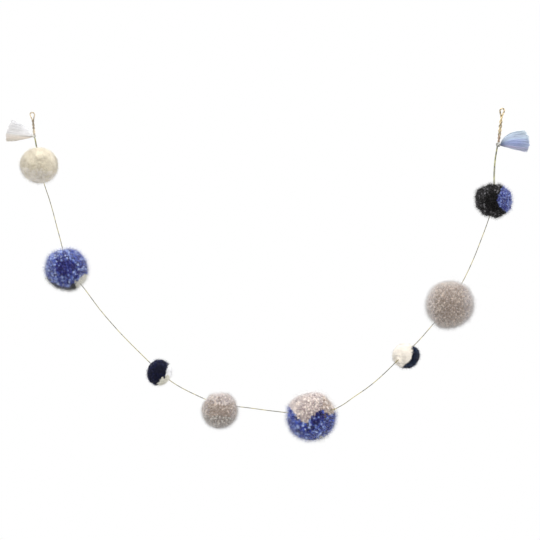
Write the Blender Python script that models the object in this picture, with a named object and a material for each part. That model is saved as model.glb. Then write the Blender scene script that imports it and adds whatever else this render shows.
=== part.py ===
# Pom pom garland: yarn pom poms threaded on one fine cord, hung as a swag by two loops.
# Metres, +Z up. The origin is where a hook bears, at the top inside the left eye.
# +X runs along the garland to the right eye. The swag hangs in the XZ plane, its front towards -Y.

from collections import namedtuple
from math import cos, exp, pi, radians, sin, tau

import bmesh
import bpy
from mathutils import Vector, noise
from mathutils.geometry import interpolate_bezier

MM = 0.001
UP = Vector((0, 0, 1))

# Driving dimensions, in millimetres
GAP = 0.3  # left between pieces that touch
CORD_DIAMETER = 1.3
STRAND_DIAMETER = 1.8  # the thicker twisted cord of the hanging loops
STRAND_SPACING = 2.1  # between the two strands of a loop, centre to centre
EYE_HALF_WIDTH = 3.5  # from the loop's middle to the strand's centre line
TEARDROP_WIDEST = 0.75  # where an eye is widest, as a share of its height
TWIST_EASE = 1.2  # above 1, the twist slackens towards the eye
CHANNEL_CLEARANCE = 0.35  # round the cord, inside a pom

# Tube detail
CORD_POINTS = 78
STRAND_POINTS = 72
SMOOTH_STEPS = 12  # steps between two points of a route, before it is read evenly
STALK_STEPS = 60  # the same, along a loop's twisted stalk
EYE_STEPS = 60
TUBE_RESOLUTION = 2

# The pile of a pom
LUMP_HEIGHT = 1.4  # mm, how far the cut pile bulges and sinks
LUMP_SCALE = 2.6  # lumps along a radius
BULGE_SPREAD = 24.0  # degrees from a bulge's middle to where it fades
DIMPLE_DEPTH = 4.2  # mm, where the cord parts the pile
DIMPLE_WIDTH = 6.5
LARGE_POM = 80.0  # mm, poms wider than this get the finer ball
FINE_BALL = (24, 15)  # segments and rings
PLAIN_BALL = (20, 13)

# The cord's route from the left knot to the right one, as x, y and z in millimetres.
# It comes forward out of the pile on the right of the fifth pom and on the left of the sixth.
CORD_ROUTE = (
    (4.1, 0, -43.8), (13.3, 0, -91), (21, 0, -124), (30.3, 0, -152), (47.5, 0, -215),
    (62.5, 0, -266), (73, 0, -285), (87, 0, -302), (121, 0, -347), (146, 0, -376),
    (202, 0, -433), (221.5, 0, -452), (239.5, 0, -467), (290, 0, -495), (333, 0, -511.5),
    (362, 0, -514), (425, 0, -522), (469, 0, -526.2), (490, -2, -525.5), (510, -13, -522),
    (525, -22, -518), (542, -22, -509.5), (563, -15, -495.5), (585, -10, -481),
    (602.5, -10, -467), (617.5, -13, -453), (629.5, -16, -441), (641, -13, -430.5),
    (654, -3, -420), (668, 0, -407), (700, 0, -371.5), (729.5, 0, -335), (754, 0, -294),
    (769, 0, -263), (785.5, 0, -222), (800, 0, -181), (808.5, 0, -140), (809.6, 0, -100),
    (811, 0, -80.5), (814.4, 0, -59.9),
)

# Centre, width and height in mm, the place in the noise that gives its lumps, and its bulges:
# the angle of each from +X towards +Z, in degrees, and how far it stands out or sinks, in mm
Pom = namedtuple("Pom", "name x z width height lumps bulges colour")
POMS = (
    Pom("pom_1_cream", 12.3, -91.9, 69.0, 68.5, 3.1,
        ((75, -1.2), (165, 1.5), (245, -2.2)), "cream"),
    Pom("pom_2_blue_mix", 60.0, -274.0, 79.0, 78.5, 7.4,
        ((50, 1.2), (142, 1.5), (245, -2.2), (315, 1.5)), "blue_mix"),
    Pom("pom_3_navy", 222.8, -454.0, 45.5, 47.0, 11.9,
        ((158, -1.0), (235, 1.6)), "navy"),
    Pom("pom_4_taupe", 328.3, -520.0, 68.5, 67.5, 16.2,
        ((95, -2.0), (200, -1.2), (245, 1.2)), "taupe"),
    Pom("pom_5_taupe_blue", 488.4, -529.9, 91.0, 90.0, 21.7,
        ((42, -1.5), (64, 1.5), (105, -3.5), (150, 1.2), (240, 1.5), (300, 1.2)), "taupe"),
    Pom("pom_6_cream_navy", 654.1, -424.4, 49.5, 47.5, 26.3,
        ((15, 1.2), (75, -1.0), (200, 0.8)), "cream"),
    Pom("pom_7_taupe", 730.6, -334.3, 89.5, 87.5, 31.8,
        ((45, 1.5), (90, -1.8), (155, -1.8), (245, 3.0)), "taupe"),
    Pom("pom_8_black_blue", 806.4, -152.8, 67.0, 63.5, 36.6,
        ((15, 1.5), (107, -2.5), (142, 1.2), (203, -1.8), (325, 2.2)), "black"),
)

# A loop runs from its foot on the knot up to the eye's top and back, its two legs twisted
Loop = namedtuple("Loop", "name top_x top_z foot_x foot_z eye_height turn twists spread")
LOOPS = (
    Loop("hanging_loop_left", 0.0, 0.9, 3.6, -37.4, 13.5, 0.0, 2.0, 0.0),
    Loop("hanging_loop_right", 822.9, 7.7, 816.2, -50.7, 13.5, 8.0, 3.0, 0.3),
)

# Half sizes of the knots, each wound from the loop's cord round the garland's cord
Knot = namedtuple("Knot", "name x z half_width half_height tilt")
KNOTS = (
    Knot("knot_left", 3.7, -40.8, 2.8, 2.7, 12.0),
    Knot("knot_right", 815.1, -55.5, 3.8, 4.2, -14.0),
)
KNOT_WRAPS = 3
WRAP_HEIGHT = 0.05  # as a share of the knot's size
KNOT_BALL = (16, 11)

# A tassel is a fan of threads from the knot. Each edge starts at the root, bends at the bend
# and ends at the end, as x and z from the knot's centre. The cut ends bow out by the bow.
Tassel = namedtuple(
    "Tassel",
    "name knot side root_half top_bend top_end low_bend low_end bow depth colour",
)
TASSELS = (
    Tassel("tassel_left", "knot_left", -1, 1.3, (-4.2, 18.2), (-38.5, 27.7),
           (-20.5, -7.0), (-47.5, -8.4), 3.0, 17.0, "tassel_white"),
    Tassel("tassel_right", "knot_right", 1, 1.9, (12.4, 23.5), (45.6, 24.9),
           (16.5, -5.4), (49.4, -12.6), 5.5, 19.0, "tassel_blue"),
)
TASSEL_SECTIONS = 9
TASSEL_SIDES = 16
TASSEL_ROOT_DEPTH = 2.6
TASSEL_FILL = 0.8  # below 1, the depth grows faster near the root
END_INSET = 0.08  # how far the last ring draws in, as a share of the fan, to round the end
END_REACH = 1.0  # mm, how far it stands out

COLOURS = {  # red, green, blue as a screen shows them, and roughness
    "cream": (222, 212, 186, 0.95),
    "blue_mix": (82, 88, 158, 0.95),
    "navy": (34, 38, 72, 0.95),
    "taupe": (178, 162, 152, 0.95),
    "black": (28, 26, 28, 0.95),
    "cord": (196, 188, 150, 0.5),
    "loop": (186, 166, 132, 0.5),
    "tassel_white": (222, 216, 208, 0.6),
    "tassel_blue": (160, 174, 216, 0.6),
}


def clear_scene():
    for item in list(bpy.data.objects):
        bpy.data.objects.remove(item, do_unlink=True)


def new_collection(name):
    collection = bpy.data.collections.new(name)
    bpy.context.scene.collection.children.link(collection)
    return collection


def linear(value):
    """A screen value from 0 to 255 as the linear number that Blender's shaders take."""
    share = value / 255
    return share / 12.92 if share <= 0.04045 else ((share + 0.055) / 1.055) ** 2.4


def make_material(name):
    red, green, blue, roughness = COLOURS[name]
    material = bpy.data.materials.new(name)
    material.use_nodes = True
    shader = material.node_tree.nodes["Principled BSDF"]
    shader.inputs["Base Color"].default_value = (linear(red), linear(green), linear(blue), 1)
    shader.inputs["Roughness"].default_value = roughness
    return material


def add_object(name, data, colour, location=(0, 0, 0)):
    item = bpy.data.objects.new(name, data)
    item.location = location
    item.parent = garland
    data.materials.append(materials[colour])
    parts.objects.link(item)
    return item


def in_plane(x, z):
    """A point of the swag's plane, from millimetres."""
    return Vector((x, 0, z)) * MM


def even_points(dense, count):
    """Reads a dense line of points at count even steps along its length."""
    reached = [0.0]
    for start, end in zip(dense, dense[1:]):
        reached.append(reached[-1] + (end - start).length)
    points = []
    place = 0
    for step in range(count):
        wanted = reached[-1] * step / (count - 1)
        while place < len(dense) - 2 and reached[place + 1] < wanted:
            place += 1
        share = (wanted - reached[place]) / (reached[place + 1] - reached[place])
        points.append(dense[place].lerp(dense[place + 1], min(share, 1.0)))
    return points


def smooth_line(points):
    """A dense smooth curve through the points, whose slope at each weighs both its sides."""
    steps = [(end - start).length for start, end in zip(points, points[1:])]
    slopes = [(end - start) / step for start, end, step in zip(points, points[1:], steps)]
    tangents = [slopes[0]]
    for before, after, near, far in zip(slopes, slopes[1:], steps, steps[1:]):
        tangents.append((before * far + after * near) / (near + far))
    tangents.append(slopes[-1])
    dense = []
    for index, step in enumerate(steps):
        start, end = points[index], points[index + 1]
        leave = start + tangents[index] * step / 3
        arrive = end - tangents[index + 1] * step / 3
        dense += interpolate_bezier(start, leave, arrive, end, SMOOTH_STEPS)[:-1]
    dense.append(points[-1])
    return dense


def tube_curve(name, points, diameter):
    """A round tube of filled caps along a line of points, in metres."""
    curve = bpy.data.curves.new(name, "CURVE")
    curve.dimensions = "3D"
    curve.bevel_depth = diameter * MM / 2
    curve.bevel_resolution = TUBE_RESOLUTION
    curve.use_fill_caps = True
    spline = curve.splines.new("POLY")
    spline.points.add(len(points) - 1)
    for target, point in zip(spline.points, points):
        target.co = (*point, 1)
    return curve


def add_channel_cutter():
    """The cord's tube with its clearance, as the mesh that cuts the poms."""
    wide = CORD_DIAMETER + 2 * CHANNEL_CLEARANCE
    curve = tube_curve("channel_curve", cord_points, wide)
    source = bpy.data.objects.new("channel_curve", curve)
    cutters.objects.link(source)
    graph = bpy.context.evaluated_depsgraph_get()
    mesh = bpy.data.meshes.new_from_object(source.evaluated_get(graph))
    shape = bmesh.new()
    shape.from_mesh(mesh)
    bmesh.ops.remove_doubles(shape, verts=shape.verts, dist=0.0001 * MM)
    shape.to_mesh(mesh)
    shape.free()
    cutter = bpy.data.objects.new("cord_channel", mesh)
    cutter.matrix_world = source.matrix_world
    bpy.data.objects.remove(source, do_unlink=True)
    cutters.objects.link(cutter)
    cutter.hide_render = True
    cutter.display_type = "WIRE"
    return cutter


def add_cord():
    """The one cord that runs through every pom, from knot to knot."""
    add_object("cord", tube_curve("cord", cord_points, CORD_DIAMETER), "cord")


def cord_ways(centre, reach):
    """The two directions, from a pom's centre, in which the cord enters and leaves its pile."""
    inside = [point for point in cord_line if (point - centre).length < reach]
    return [(inside[0] - centre).normalized(), (inside[-1] - centre).normalized()]


def pile_reach(direction, row, ways):
    """How far the pile reaches from a pom's centre in one direction, in metres."""
    half = Vector((row.width, (row.width + row.height) / 2, row.height)) * MM / 2
    reach = 1 / Vector((direction.x / half.x, direction.y / half.y, direction.z / half.z)).length
    spot = direction * LUMP_SCALE + Vector((row.lumps, row.lumps, 0))
    reach += noise.noise(spot) * LUMP_HEIGHT * MM
    for degrees, height in row.bulges:
        middle = Vector((cos(radians(degrees)), 0, sin(radians(degrees))))
        away = direction.angle(middle) / radians(BULGE_SPREAD)
        reach += height * MM * exp(-away * away)
    for way in ways:
        along = direction.angle(way) * reach / (DIMPLE_WIDTH * MM)
        reach -= DIMPLE_DEPTH * MM * exp(-along * along)
    return reach


def add_pom(row):
    """One pom as the outer form of its cut pile, dimpled where the cord parts it."""
    centre = in_plane(row.x, row.z)
    ways = cord_ways(centre, row.height * MM / 2)
    turn = UP.rotation_difference(ways[1] - ways[0])
    segments, rings = FINE_BALL if row.width > LARGE_POM else PLAIN_BALL
    shape = bmesh.new()
    bmesh.ops.create_uvsphere(shape, u_segments=segments, v_segments=rings, radius=1)
    for vertex in shape.verts:
        direction = vertex.co.normalized()
        vertex.co = direction * pile_reach(turn @ direction, row, ways)
    mesh = bpy.data.meshes.new(row.name)
    shape.to_mesh(mesh)
    shape.free()
    mesh.shade_smooth()
    pom = add_object(row.name, mesh, row.colour, centre)
    pom.rotation_mode = "QUATERNION"
    pom.rotation_quaternion = turn
    channel = pom.modifiers.new("cord_channel", "BOOLEAN")
    channel.object = channel_cutter
    channel.solver = "EXACT"


def teardrop(share):
    """The outline of an eye, from its point at 0 to its round top at 1."""
    return share * (share * (1 - share)) ** 0.5


def leg_offset(rise, neck, row):
    """How far a leg is from the loop's middle, and which way, at a height from 0 to 1."""
    half_spacing = STRAND_SPACING / 2
    if rise < neck:
        left = 1 - rise / neck
        apart = half_spacing + row.spread * sin(pi * rise / neck)
        return apart, radians(row.turn) + tau * row.twists * left**TWIST_EASE
    share = (rise - neck) / (1 - neck)
    bulge = EYE_HALF_WIDTH * teardrop(share) / teardrop(TEARDROP_WIDEST)
    return half_spacing * (1 - share) + bulge, radians(row.turn)


def loop_points(row):
    """The strand of a hanging loop: up one twisted leg, round the eye and down the other."""
    foot = in_plane(row.foot_x, row.foot_z)
    top = in_plane(row.top_x, row.top_z)
    neck = 1 - row.eye_height / (row.top_z - row.foot_z)
    stalk = [neck * step / STALK_STEPS for step in range(STALK_STEPS)]
    turns = [pi * step / EYE_STEPS for step in range(EYE_STEPS + 1)]
    eye = [neck + (1 - neck) * (1 - cos(turn)) / 2 for turn in turns]
    up, down = [], []
    for rise in stalk + eye:
        apart, angle = leg_offset(rise, neck, row)
        offset = Vector((cos(angle), sin(angle), 0)) * apart * MM
        middle = foot.lerp(top, rise)
        up.append(middle + offset)
        down.append(middle - offset)
    return even_points(up + down[-2::-1], STRAND_POINTS)


def add_loop(row):
    """A hanging loop of doubled, twisted cord with an open eye at its top."""
    add_object(row.name, tube_curve(row.name, loop_points(row), STRAND_DIAMETER), "loop")


def add_knot(row):
    """The knot that ties cord, loop and tassel, its wraps as low ridges."""
    half = Vector((row.half_width, row.half_width, row.half_height)) * MM
    segments, rings = KNOT_BALL
    shape = bmesh.new()
    bmesh.ops.create_uvsphere(shape, u_segments=segments, v_segments=rings, radius=1)
    for vertex in shape.verts:
        ridge = 1 - WRAP_HEIGHT * (1 - cos(tau * KNOT_WRAPS * (vertex.co.z + 1) / 2)) / 2
        vertex.co = Vector((vertex.co.x * half.x, vertex.co.y * half.y, vertex.co.z * half.z))
        vertex.co *= ridge
    mesh = bpy.data.meshes.new(row.name)
    shape.to_mesh(mesh)
    shape.free()
    mesh.shade_smooth()
    knot = add_object(row.name, mesh, "loop", in_plane(row.x, row.z))
    knot.rotation_euler.y = radians(row.tilt)


def bend_through(start, middle, end, share):
    """A point of the curve that leaves start towards middle and arrives at end."""
    return start.lerp(middle, share).lerp(middle.lerp(end, share), share)


def fan_point(row, knot, along, across):
    """A point of a tassel's fan, along its threads and across from its low to its top edge."""
    root_x = row.side * (knot.half_width + GAP)
    low_root, top_root = Vector((root_x, -row.root_half)), Vector((root_x, row.root_half))
    low = bend_through(low_root, Vector(row.low_bend), Vector(row.low_end), along)
    top = bend_through(top_root, Vector(row.top_bend), Vector(row.top_end), along)
    point = low.lerp(top, across)
    point.x += row.side * row.bow * along * along * sin(pi * across)
    return in_plane(point.x, point.y)


def tassel_ring(row, knot, along, inset=0.0, reach=0.0):
    """The points round a tassel at one section, drawn in by the inset and moved out by reach."""
    depth = TASSEL_ROOT_DEPTH + (row.depth - TASSEL_ROOT_DEPTH) * along**TASSEL_FILL
    ring = []
    for side in range(TASSEL_SIDES):
        angle = tau * side / TASSEL_SIDES
        point = fan_point(row, knot, along, 0.5 + (0.5 - inset) * cos(angle))
        point.x += row.side * reach * MM
        point.y = (0.5 - inset) * depth * sin(angle) * MM
        ring.append(point)
    return ring


def add_tassel(row):
    """A headless tassel: a fan of threads, round in depth, from the knot to its cut ends."""
    knot = next(item for item in KNOTS if item.name == row.knot)
    sections = [section / (TASSEL_SECTIONS - 1) for section in range(TASSEL_SECTIONS)]
    rings = [tassel_ring(row, knot, along) for along in sections]
    rings.append(tassel_ring(row, knot, 1.0, END_INSET, END_REACH))
    shape = bmesh.new()
    rings = [[shape.verts.new(point) for point in ring] for ring in rings]
    for near, far in zip(rings, rings[1:]):
        for side in range(TASSEL_SIDES):
            following = (side + 1) % TASSEL_SIDES
            shape.faces.new((near[side], near[following], far[following], far[side]))
    caps = [shape.faces.new(rings[0]), shape.faces.new(rings[-1])]
    bmesh.ops.poke(shape, faces=caps)
    bmesh.ops.recalc_face_normals(shape, faces=shape.faces)
    mesh = bpy.data.meshes.new(row.name)
    shape.to_mesh(mesh)
    shape.free()
    mesh.shade_smooth()
    add_object(row.name, mesh, row.colour, in_plane(knot.x, knot.z))


clear_scene()
parts = new_collection("pom_pom_garland")
cutters = new_collection("cutters")
garland = bpy.data.objects.new("garland", None)
parts.objects.link(garland)
materials = {name: make_material(name) for name in COLOURS}

cord_line = smooth_line([Vector(point) * MM for point in CORD_ROUTE])
cord_points = even_points(cord_line, CORD_POINTS)
channel_cutter = add_channel_cutter()

add_cord()
for pom_row in POMS:
    add_pom(pom_row)
for loop_row in LOOPS:
    add_loop(loop_row)
for knot_row in KNOTS:
    add_knot(knot_row)
for tassel_row in TASSELS:
    add_tassel(tassel_row)
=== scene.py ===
# Pom pom garland: cut-yarn pom poms on one twisted cord, with a loop, a knot and a tassel at each end
from math import ceil, cos, exp, pi, radians, sin, tau

import bmesh
import bpy
import numpy as np
from mathutils import Matrix, Vector, noise
from mathutils.geometry import interpolate_bezier


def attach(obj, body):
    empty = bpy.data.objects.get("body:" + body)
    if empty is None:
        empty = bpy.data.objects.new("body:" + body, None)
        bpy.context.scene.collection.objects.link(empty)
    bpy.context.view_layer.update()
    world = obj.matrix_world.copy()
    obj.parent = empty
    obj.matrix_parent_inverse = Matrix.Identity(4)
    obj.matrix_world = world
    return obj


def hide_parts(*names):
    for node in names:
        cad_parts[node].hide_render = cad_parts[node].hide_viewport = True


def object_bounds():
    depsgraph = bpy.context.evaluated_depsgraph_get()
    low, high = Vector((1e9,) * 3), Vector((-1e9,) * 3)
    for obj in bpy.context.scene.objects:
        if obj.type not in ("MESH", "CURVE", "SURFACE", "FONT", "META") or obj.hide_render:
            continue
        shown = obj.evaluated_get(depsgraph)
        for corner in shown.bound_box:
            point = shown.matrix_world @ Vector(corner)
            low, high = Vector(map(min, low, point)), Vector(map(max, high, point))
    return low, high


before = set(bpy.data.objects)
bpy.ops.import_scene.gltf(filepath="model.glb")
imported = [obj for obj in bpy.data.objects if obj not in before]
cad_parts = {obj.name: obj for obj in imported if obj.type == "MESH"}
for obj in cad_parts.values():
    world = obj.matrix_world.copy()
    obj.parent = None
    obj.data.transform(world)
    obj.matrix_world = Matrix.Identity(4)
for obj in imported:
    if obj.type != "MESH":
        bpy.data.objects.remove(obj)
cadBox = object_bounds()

mm = 0.001
body = "root"
gap = 0.3 * mm  # left between the pieces of the frame


def linear(value):
    share = value / 255
    return share / 12.92 if share <= 0.04045 else ((share + 0.055) / 1.055) ** 2.4


def screen(red, green, blue):
    return (linear(red), linear(green), linear(blue), 1.0)


class Wire:
    # a value, colour or vector on its way through a node tree
    def __init__(self, tree, socket):
        self.tree = tree
        self.socket = socket

    def maths(self, operation, first, second):
        return addNode(self.tree, "ShaderNodeMath", {"operation": operation}, {0: first, 1: second})

    def __add__(self, other):
        return self.maths("ADD", self, other)

    def __radd__(self, other):
        return self.maths("ADD", other, self)

    def __sub__(self, other):
        return self.maths("SUBTRACT", self, other)

    def __rsub__(self, other):
        return self.maths("SUBTRACT", other, self)

    def __mul__(self, other):
        return self.maths("MULTIPLY", self, other)

    def __rmul__(self, other):
        return self.maths("MULTIPLY", other, self)

    def __truediv__(self, other):
        return self.maths("DIVIDE", self, other)

    def __rtruediv__(self, other):
        return self.maths("DIVIDE", other, self)


def addNode(tree, kind, settings=None, values=None, output=0):
    node = tree.nodes.new(kind)
    for name, setting in (settings or {}).items():
        setattr(node, name, setting)
    for key, value in (values or {}).items():
        for part in value if isinstance(value, list) else [value]:
            if isinstance(part, Wire):
                tree.links.new(part.socket, node.inputs[key])
            else:
                node.inputs[key].default_value = part
    return Wire(tree, node.outputs[output])


def vectorMaths(tree, operation, first, second=(0, 0, 0), scale=1.0):
    one = {"SCALE": {0: first, 3: scale}, "NORMALIZE": {0: first}}  # that take one vector
    values = one.get(operation, {0: first, 1: second})
    return addNode(tree, "ShaderNodeVectorMath", {"operation": operation}, values)


def readAttribute(tree, name, output):
    return addNode(tree, "ShaderNodeAttribute", {"attribute_name": name}, {}, output)


def noiseAt(tree, place, scale, detail, output=0):
    values = {"Vector": place, "Scale": scale, "Detail": detail}
    return addNode(tree, "ShaderNodeTexNoise", {}, values, output)


def bumpOf(tree, height, distance, strength):
    values = {"Height": height, "Distance": distance, "Strength": strength}
    return addNode(tree, "ShaderNodeBump", {}, values)


def newMaterial(name):
    material = bpy.data.materials.new(name)
    material.use_nodes = True
    tree = material.node_tree
    return material, tree, tree.nodes["Principled BSDF"]


def plug(tree, shader, **wires):
    for name, wire in wires.items():
        tree.links.new(wire.socket, shader.inputs[name.replace("_", " ")])


def coat(shader, looks):
    # the lustre of the threads, the bloom of their fibres and the light that spreads among them
    values = {"Specular IOR Level": looks["specular"], "Sheen Weight": looks["sheen"],
              "Sheen Roughness": looks["sheenRoughness"], "Subsurface Weight": looks["softness"],
              "Subsurface Radius": (1, 1, 1), "Subsurface Scale": 3 * mm}
    for name, value in values.items():
        shader.inputs[name].default_value = value


def roundOff(tree, normal, roundness):
    # turns the normals of fine fibres towards that of the whole form, as if light wandered among them
    away = readAttribute(tree, "outward", "Vector")
    leaning = vectorMaths(tree, "ADD", normal, vectorMaths(tree, "SCALE", away, scale=roundness))
    return vectorMaths(tree, "NORMALIZE", leaning)


def mixColours(tree, share, first, second):
    return addNode(tree, "ShaderNodeMix", {"data_type": "RGBA"}, {0: share, 6: first, 7: second}, 2)


def softSteps(tree, value, low, high):
    # from 0 at the low value to 1 at the high one
    return addNode(tree, "ShaderNodeMapRange", {"interpolation_type": "SMOOTHSTEP"},
                   {0: value, 1: low, 2: high})


def newTree(name, inputs):
    tree = bpy.data.node_groups.new(name, "GeometryNodeTree")
    for label, kind in inputs.items():
        tree.interface.new_socket(name=label, in_out="INPUT", socket_type="NodeSocket" + kind)
    tree.interface.new_socket(name="Geometry", in_out="OUTPUT", socket_type="NodeSocketGeometry")
    entry = tree.nodes.new("NodeGroupInput")
    return tree, {label: Wire(tree, entry.outputs[label]) for label in inputs}


def endTree(tree, geometry, material):
    # every tree ends in real meshes with their material
    real = addNode(tree, "GeometryNodeRealizeInstances", {}, {"Geometry": geometry})
    worn = addNode(tree, "GeometryNodeSetMaterial", {}, {"Geometry": real, "Material": material})
    leave = tree.nodes.new("NodeGroupOutput")
    tree.links.new(worn.socket, leave.inputs[0])


def putInScene(name, content):
    item = bpy.data.objects.new(name, content)
    bpy.context.scene.collection.objects.link(item)
    return item


def closeShape(shape, name):
    # the finished mesh of a shape under construction
    mesh = bpy.data.meshes.new(name)
    shape.to_mesh(mesh)
    shape.free()
    return mesh


def grow(name, source, tree, settings):
    # runs a tree on a mesh and returns the result as a plain mesh
    seedling = putInScene(name + "_source", source)
    modifier = seedling.modifiers.new(tree.name, "NODES")
    modifier.node_group = tree
    for item in tree.interface.items_tree:
        if item.in_out == "INPUT" and item.name in settings:
            modifier[item.identifier] = settings[item.name]
    graph = bpy.context.evaluated_depsgraph_get()
    mesh = bpy.data.meshes.new_from_object(seedling.evaluated_get(graph), depsgraph=graph)
    bpy.data.objects.remove(seedling, do_unlink=True)
    mesh.name = name
    return mesh


def storePoints(tree, geometry, name, value, kind="FLOAT"):
    return addNode(tree, "GeometryNodeStoreNamedAttribute", {"data_type": kind, "domain": "POINT"},
                   {"Geometry": geometry, "Name": name, "Value": value})


def countTriangles(mesh):
    return sum(len(polygon.vertices) - 2 for polygon in mesh.polygons)


def addPiece(name, mesh, slot, *nodes):
    piece = putInScene(name, mesh)
    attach(piece, body)
    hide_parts(*nodes)
    return piece


def readPoints(mesh, name, width):
    values = np.zeros(len(mesh.vertices) * width, np.float32)
    kind = "vector" if width == 3 else "value"
    mesh.attributes[name].data.foreach_get(kind, values)
    return values.reshape(-1, width) if width > 1 else values


def writeValues(mesh, name, kind, values, domain="POINT"):
    field = {"FLOAT": "value", "FLOAT_VECTOR": "vector", "FLOAT_COLOR": "color"}[kind]
    layer = mesh.attributes.new(name, kind, domain)
    layer.data.foreach_set(field, np.asarray(values, np.float32).ravel())


def paintPoints(mesh, colours):
    opaque = np.column_stack([np.clip(colours, 0, 1), np.ones(len(colours))])
    writeValues(mesh, "yarnColour", "FLOAT_COLOR", opaque)


def cornerPoints(mesh):
    # which point of the mesh each corner of its faces is
    corners = np.zeros(len(mesh.loops), np.int32)
    mesh.loops.foreach_get("vertex_index", corners)
    return corners


def mapCorners(mesh, spots):
    layer = mesh.uv_layers.new(name="OFBake")
    layer.data.foreach_set("uv", spots.astype(np.float32).ravel())
    mesh.uv_layers.active = layer
    layer.active_render = True


def lineMesh(name, lines):
    # one mesh of open lines, each a list of points, with the number of its line at every point
    mesh = bpy.data.meshes.new(name)
    points, edges, numbers = [], [], []
    for number, line in enumerate(lines):
        first = len(points)
        points += line
        numbers += [number] * len(line)
        edges += [(first + step, first + step + 1) for step in range(len(line) - 1)]
    mesh.from_pydata(points, edges, [])
    writeValues(mesh, "line", "FLOAT", numbers)
    return mesh


view = {
    "centre": (0.41615, -0.27475),  # x and z of the picture's middle
    "width": 0.945,  # what the picture spans at the swag
    "distance": 3.3,
    "floorDrop": 0.32,  # from the lowest pom to the floor
}


def addCamera():
    camera = putInScene("camera", bpy.data.cameras.new("camera"))
    camera.location = (view["centre"][0], -view["distance"], view["centre"][1])
    camera.rotation_euler = (radians(90), 0, 0)
    camera.data.sensor_width = 36
    camera.data.lens = camera.data.sensor_width * view["distance"] / view["width"]
    camera.data.clip_end = 50
    bpy.context.scene.camera = camera


def addLight(name, place, aim, size, power):
    lamp = bpy.data.lights.new(name, "AREA")
    lamp.shape = "DISK"
    lamp.size = size
    lamp.energy = power
    light = putInScene(name, lamp)
    light.location = place
    light.rotation_euler = (Vector(aim) - Vector(place)).to_track_quat("-Z", "Y").to_euler()


studio = {
    "level": 1.68,
    "backdrop": 0.7,  # how much brighter behind the swag, and darker on the camera's side
    "ceiling": 0.35,  # how much brighter above and darker below
    "softbox": 30,
    "softboxPlace": (0.33, -0.9, 1.7),
    "softboxSize": 1.6,
    "floorRadius": 1.35,
    "floorDepth": -0.35,  # where the floor's middle is along Y
    "floorColour": (0.56, 0.56, 0.56, 1),  # pale in this light
}


def addStudio():
    lowest = cadBox[0].z - view["floorDrop"]
    shape = bmesh.new()
    bmesh.ops.create_circle(shape, cap_ends=True, segments=96, radius=studio["floorRadius"])
    floor = putInScene("floor", closeShape(shape, "floor"))
    floor.location = (view["centre"][0], studio["floorDepth"], lowest)
    material, tree, shader = newMaterial("floorPaint")
    shader.inputs["Base Color"].default_value = studio["floorColour"]
    shader.inputs["Roughness"].default_value = 0.8
    floor.data.materials.append(material)

    world = bpy.data.worlds.new("studio")
    bpy.context.scene.world = world
    world.use_nodes = True
    tree = world.node_tree
    tree.nodes.clear()
    seen = addNode(tree, "ShaderNodeBackground", {}, {"Color": (1, 1, 1, 1), "Strength": 1.0})
    way = addNode(tree, "ShaderNodeTexCoord", {}, {}, "Generated")
    behind = addNode(tree, "ShaderNodeSeparateXYZ", {}, {"Vector": way}, "Y")
    above = addNode(tree, "ShaderNodeSeparateXYZ", {}, {"Vector": way}, "Z")
    strength = behind * studio["backdrop"] + above * studio["ceiling"] + studio["level"]
    lit = addNode(tree, "ShaderNodeBackground", {}, {"Color": (1, 1, 1, 1), "Strength": strength})
    eye = addNode(tree, "ShaderNodeLightPath", {}, {}, "Is Camera Ray")
    sky = addNode(tree, "ShaderNodeMixShader", {}, {0: eye, 1: lit, 2: seen})
    leave = tree.nodes.new("ShaderNodeOutputWorld")
    tree.links.new(sky.socket, leave.inputs["Surface"])
    middle = (view["centre"][0], 0, view["centre"][1])
    addLight("topSoftbox", studio["softboxPlace"], middle, studio["softboxSize"], studio["softbox"])
    bpy.context.scene.view_settings.view_transform = "Standard"


addCamera()
addStudio()
print("stage: camera, floor and light")


def evenPoints(dense, count):
    reached = [0.0]
    for start, end in zip(dense, dense[1:]):
        reached.append(reached[-1] + (end - start).length)
    points, place = [], 0
    for step in range(count):
        wanted = reached[-1] * step / (count - 1)
        while place < len(dense) - 2 and reached[place + 1] < wanted:
            place += 1
        share = (wanted - reached[place]) / (reached[place + 1] - reached[place])
        points.append(dense[place].lerp(dense[place + 1], min(share, 1.0)))
    return points


def smoothLine(points, between=12):
    # a smooth curve through the points, whose slope at each weighs both its sides
    steps = [(end - start).length for start, end in zip(points, points[1:])]
    slopes = [(end - start) / step for start, end, step in zip(points, points[1:], steps)]
    tangents = [slopes[0]]
    for before, after, near, far in zip(slopes, slopes[1:], steps, steps[1:]):
        tangents.append((before * far + after * near) / (near + far))
    tangents.append(slopes[-1])
    dense = []
    for index, step in enumerate(steps):
        start, end = points[index], points[index + 1]
        leave = start + tangents[index] * step / 3
        arrive = end - tangents[index + 1] * step / 3
        dense += interpolate_bezier(start, leave, arrive, end, between)[:-1]
    return dense + [points[-1]]


def lengthOf(points):
    return sum((end - start).length for start, end in zip(points, points[1:]))


def ribbonSection(tree, radius, sides, ply):
    # one round ply of a sweep, marked with its number and the way round it
    circle = addNode(tree, "GeometryNodeCurvePrimitiveCircle", {},
                     {"Resolution": sides, "Radius": radius})
    turn = addNode(tree, "GeometryNodeSplineParameter")
    turned = storePoints(tree, circle, "turn", turn)
    return storePoints(tree, turned, "ply", float(ply))


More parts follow.
